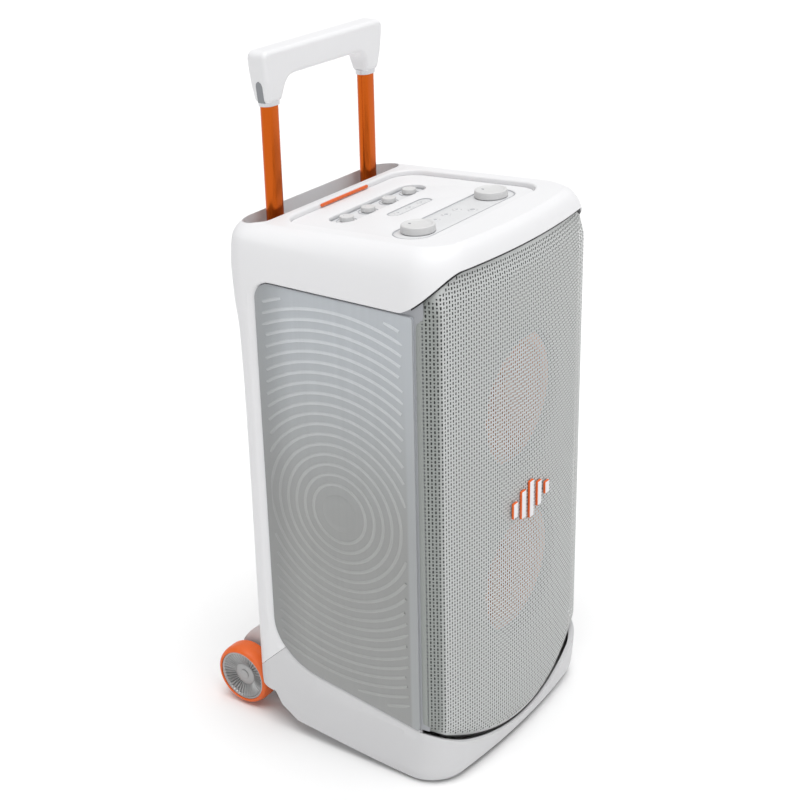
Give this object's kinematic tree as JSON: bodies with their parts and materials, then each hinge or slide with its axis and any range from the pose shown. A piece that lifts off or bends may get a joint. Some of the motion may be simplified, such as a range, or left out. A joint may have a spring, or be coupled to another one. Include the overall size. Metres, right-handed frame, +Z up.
{
  "type": "party speaker",
  "caption": "Tall portable loudspeaker with glowing side covers, bowed perforated front, knobs on a sunken deck, wheels at the rear and a pull-up trolley handle.",
  "frame": {"origin": "on the floor below the middle of the bounding box", "axes": "+Z up, front towards -Y, wheels and sockets towards +Y, +X to the speaker's left hand when seen from behind"},
  "size_m": [0.333, 0.375, 0.838],
  "materials": {
    "white_plastic": "satin moulded plastic",
    "light_lens": "smoked translucent light cover",
    "pale_grille": "light grey powder coat",
    "black_rubber": "matte black",
    "dark_plastic": "matte dark",
    "grey_plastic": "satin grey",
    "pale_fascia": "pale polished plate",
    "orange_anodised": "orange anodised",
    "orange_rubber": "matte orange",
    "orange_cone": "orange woven cone",
    "satin_metal": "satin",
    "steel": "brushed",
    "board_green": "circuit board",
    "cabinet_board": "raw fibreboard"
  },
  "bodies": {
    "cabinet": {"amplifier": "satin_metal", "baffle": "cabinet_board", "bass_port": "dark_plastic", "battery_pack": "dark_plastic", "bottom_tray": "white_plastic", "cabinet_box": "cabinet_board", "control_deck": "white_plastic", "device_strip": "orange_rubber", "fascia_large": "pale_fascia", "fascia_rear": "pale_fascia", "fascia_small": "pale_fascia", "front_badge": "white_plastic", "front_foot": "black_rubber", "front_grille": "pale_grille", "grille_gasket": "black_rubber", "guide_sleeve_left": "satin_metal", "guide_sleeve_right": "satin_metal", "hood": "white_plastic", "jack_block": "dark_plastic", "light_board_left": "board_green", "light_board_right": "board_green", "light_panel_left": "light_lens", "light_panel_right": "light_lens", "main_board": "board_green", "mains_inlet": "black_rubber", "rear_foot": "black_rubber", "rear_panel": "white_plastic", "socket_panel": "grey_plastic", "tweeter_left": "dark_plastic", "tweeter_right": "dark_plastic", "wheel_axle": "steel", "woofer_basket_lower": "dark_plastic", "woofer_basket_upper": "dark_plastic", "woofer_cone_lower": "orange_cone", "woofer_cone_upper": "orange_cone"},
    "handle": {"handle_grip": "white_plastic", "handle_tube_left": "orange_anodised", "handle_tube_right": "orange_anodised", "leg_collar_left": "satin_metal", "leg_collar_right": "satin_metal"},
    "release_catch": {"release_button": "grey_plastic"},
    "wheel_left": {"wheel_tyre_left": "orange_rubber", "wheel_hub_left": "grey_plastic"},
    "wheel_right": {"wheel_tyre_right": "orange_rubber", "wheel_hub_right": "grey_plastic"},
    "battery_hatch": {"battery_door": "white_plastic"},
    "socket_flap": {"socket_cover": "black_rubber"},
    "small_key_1_body": {"small_key_1": "grey_plastic"},
    "small_key_2_body": {"small_key_2": "grey_plastic"},
    "small_key_3_body": {"small_key_3": "grey_plastic"},
    "large_key_1_body": {"large_key_1": "grey_plastic"},
    "large_key_2_body": {"large_key_2": "grey_plastic"},
    "large_key_3_body": {"large_key_3": "grey_plastic"},
    "large_key_4_body": {"large_key_4": "grey_plastic"},
    "small_knob_1_body": {"small_knob_1": "white_plastic"},
    "small_knob_2_body": {"small_knob_2": "white_plastic"},
    "small_knob_3_body": {"small_knob_3": "white_plastic"},
    "small_knob_4_body": {"small_knob_4": "white_plastic"},
    "large_knob_left_body": {"large_knob_left": "white_plastic"},
    "large_knob_right_body": {"large_knob_right": "white_plastic"}
  },
  "joints": [
    {"name": "handle_slide", "type": "slide", "parent": "cabinet", "child": "handle", "axis": [0, 0, 1], "range_m": [-0.165, 0.2]},
    {"name": "release_press", "type": "slide", "parent": "handle", "child": "release_catch", "axis": [0, 0, 1], "range_m": [0, 0.0025], "stiffness_N_per_m": 300, "springref_m": -0.001},
    {"name": "wheel_left_spin", "type": "hinge", "parent": "cabinet", "child": "wheel_left", "pos_m": [-0.142, 0.1476, 0.043], "axis": [1, 0, 0], "continuous": true},
    {"name": "wheel_right_spin", "type": "hinge", "parent": "cabinet", "child": "wheel_right", "pos_m": [0.142, 0.1476, 0.043], "axis": [1, 0, 0], "continuous": true},
    {"name": "battery_door_hinge", "type": "hinge", "parent": "cabinet", "child": "battery_hatch", "pos_m": [0, 0.1172, 0.1507], "axis": [-1, 0, 0], "range_deg": [0, 100]},
    {"name": "socket_cover_hinge", "type": "hinge", "parent": "cabinet", "child": "socket_flap", "pos_m": [0, 0.1172, 0.3036], "axis": [-1, 0, 0], "range_deg": [0, 110]},
    {"name": "small_knob_1_turn", "type": "hinge", "parent": "cabinet", "child": "small_knob_1_body", "pos_m": [-0.0618, 0.0226, 0.65187], "axis": [0, 0.0499, 0.9988], "range_deg": [-140, 140]},
    {"name": "small_knob_2_turn", "type": "hinge", "parent": "cabinet", "child": "small_knob_2_body", "pos_m": [-0.0206, 0.0226, 0.65187], "axis": [0, 0.0499, 0.9988], "range_deg": [-140, 140]},
    {"name": "small_knob_3_turn", "type": "hinge", "parent": "cabinet", "child": "small_knob_3_body", "pos_m": [0.0206, 0.0226, 0.65187], "axis": [0, 0.0499, 0.9988], "range_deg": [-140, 140]},
    {"name": "small_knob_4_turn", "type": "hinge", "parent": "cabinet", "child": "small_knob_4_body", "pos_m": [0.0618, 0.0226, 0.65187], "axis": [0, 0.0499, 0.9988], "range_deg": [-140, 140]},
    {"name": "large_knob_left_turn", "type": "hinge", "parent": "cabinet", "child": "large_knob_left_body", "pos_m": [-0.0746, -0.0835, 0.65717], "axis": [0, 0.0499, 0.9988], "continuous": true},
    {"name": "large_knob_right_turn", "type": "hinge", "parent": "cabinet", "child": "large_knob_right_body", "pos_m": [0.0746, -0.0835, 0.65717], "axis": [0, 0.0499, 0.9988], "continuous": true},
    {"name": "small_key_1_press", "type": "slide", "parent": "cabinet", "child": "small_key_1_body", "axis": [0, -0.0499, -0.9988], "range_m": [0, 0.0008], "stiffness_N_per_m": 400, "springref_m": -0.0005},
    {"name": "small_key_2_press", "type": "slide", "parent": "cabinet", "child": "small_key_2_body", "axis": [0, -0.0499, -0.9988], "range_m": [0, 0.0008], "stiffness_N_per_m": 400, "springref_m": -0.0005},
    {"name": "small_key_3_press", "type": "slide", "parent": "cabinet", "child": "small_key_3_body", "axis": [0, -0.0499, -0.9988], "range_m": [0, 0.0008], "stiffness_N_per_m": 400, "springref_m": -0.0005},
    {"name": "large_key_1_press", "type": "slide", "parent": "cabinet", "child": "large_key_1_body", "axis": [0, -0.0499, -0.9988], "range_m": [0, 0.0008], "stiffness_N_per_m": 400, "springref_m": -0.0005},
    {"name": "large_key_2_press", "type": "slide", "parent": "cabinet", "child": "large_key_2_body", "axis": [0, -0.0499, -0.9988], "range_m": [0, 0.0008], "stiffness_N_per_m": 400, "springref_m": -0.0005},
    {"name": "large_key_3_press", "type": "slide", "parent": "cabinet", "child": "large_key_3_body", "axis": [0, -0.0499, -0.9988], "range_m": [0, 0.0008], "stiffness_N_per_m": 400, "springref_m": -0.0005},
    {"name": "large_key_4_press", "type": "slide", "parent": "cabinet", "child": "large_key_4_body", "axis": [0, -0.0499, -0.9988], "range_m": [0, 0.0008], "stiffness_N_per_m": 400, "springref_m": -0.0005}
  ]
}
